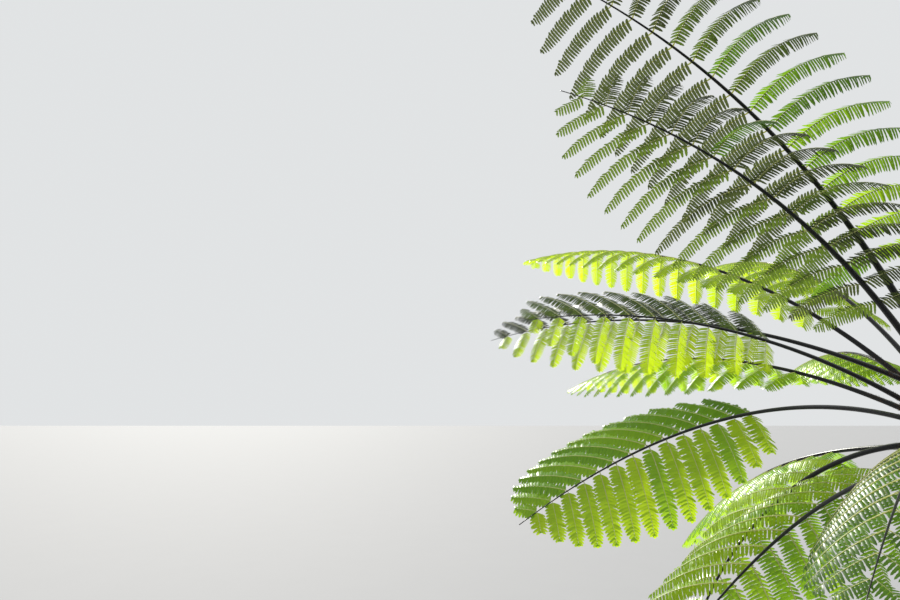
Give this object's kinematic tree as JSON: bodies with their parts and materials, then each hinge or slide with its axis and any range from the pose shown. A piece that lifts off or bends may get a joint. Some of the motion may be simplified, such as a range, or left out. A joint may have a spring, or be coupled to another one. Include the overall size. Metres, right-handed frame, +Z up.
{
  "type": "tree fern",
  "caption": "Rooted tree fern: slender leaning trunk on a flared foot under a full round crown of arching, finely divided fronds, with rolled young fronds in its middle.",
  "frame": {"origin": "middle of the flat cut under the trunk, at ground level", "axes": "+Z up; the picture was taken from the -Y side, looking along +Y, with +X to the right"},
  "size_m": [5.2596, 5.506, 4.038],
  "materials": {
    "trunk_bark": "rough, dark brown matted root and bark with oval frond scars",
    "frond_leaf": "thin bright green leaflets, a little glossy above and paler below",
    "stalk_scales": "near-black stalk with a satin sheen and brown scales"
  },
  "bodies": {
    "root": {"trunk": "trunk_bark", "crozier_1": "stalk_scales", "crozier_2": "stalk_scales", "crozier_3": "stalk_scales", "frond_01_inner": "frond_leaf", "frond_01_outer": "frond_leaf", "frond_02_inner": "frond_leaf", "frond_02_outer": "frond_leaf", "frond_03_inner": "frond_leaf", "frond_03_outer": "frond_leaf", "frond_04_inner": "frond_leaf", "frond_04_outer": "frond_leaf", "frond_05_inner": "frond_leaf", "frond_05_outer": "frond_leaf", "frond_06_inner": "frond_leaf", "frond_06_outer": "frond_leaf", "frond_07_inner": "frond_leaf", "frond_07_outer": "frond_leaf", "frond_08_inner": "frond_leaf", "frond_08_outer": "frond_leaf", "frond_09_inner": "frond_leaf", "frond_09_outer": "frond_leaf", "frond_10_inner": "frond_leaf", "frond_10_outer": "frond_leaf", "frond_11_inner": "frond_leaf", "frond_11_outer": "frond_leaf", "frond_12_inner": "frond_leaf", "frond_12_outer": "frond_leaf", "frond_13_inner": "frond_leaf", "frond_13_outer": "frond_leaf", "frond_14_inner": "frond_leaf", "frond_14_outer": "frond_leaf", "frond_15_inner": "frond_leaf", "frond_15_outer": "frond_leaf", "frond_16_inner": "frond_leaf", "frond_16_outer": "frond_leaf", "frond_17_inner": "frond_leaf", "frond_17_outer": "frond_leaf", "frond_18_inner": "frond_leaf", "frond_18_outer": "frond_leaf", "frond_19_inner": "frond_leaf", "frond_19_outer": "frond_leaf", "frond_20_inner": "frond_leaf", "frond_20_outer": "frond_leaf", "frond_21_inner": "frond_leaf", "frond_21_outer": "frond_leaf", "frond_22_inner": "frond_leaf", "frond_22_outer": "frond_leaf", "frond_23_inner": "frond_leaf", "frond_23_outer": "frond_leaf", "frond_24_inner": "frond_leaf", "frond_24_outer": "frond_leaf"}
  },
  "joints": []
}
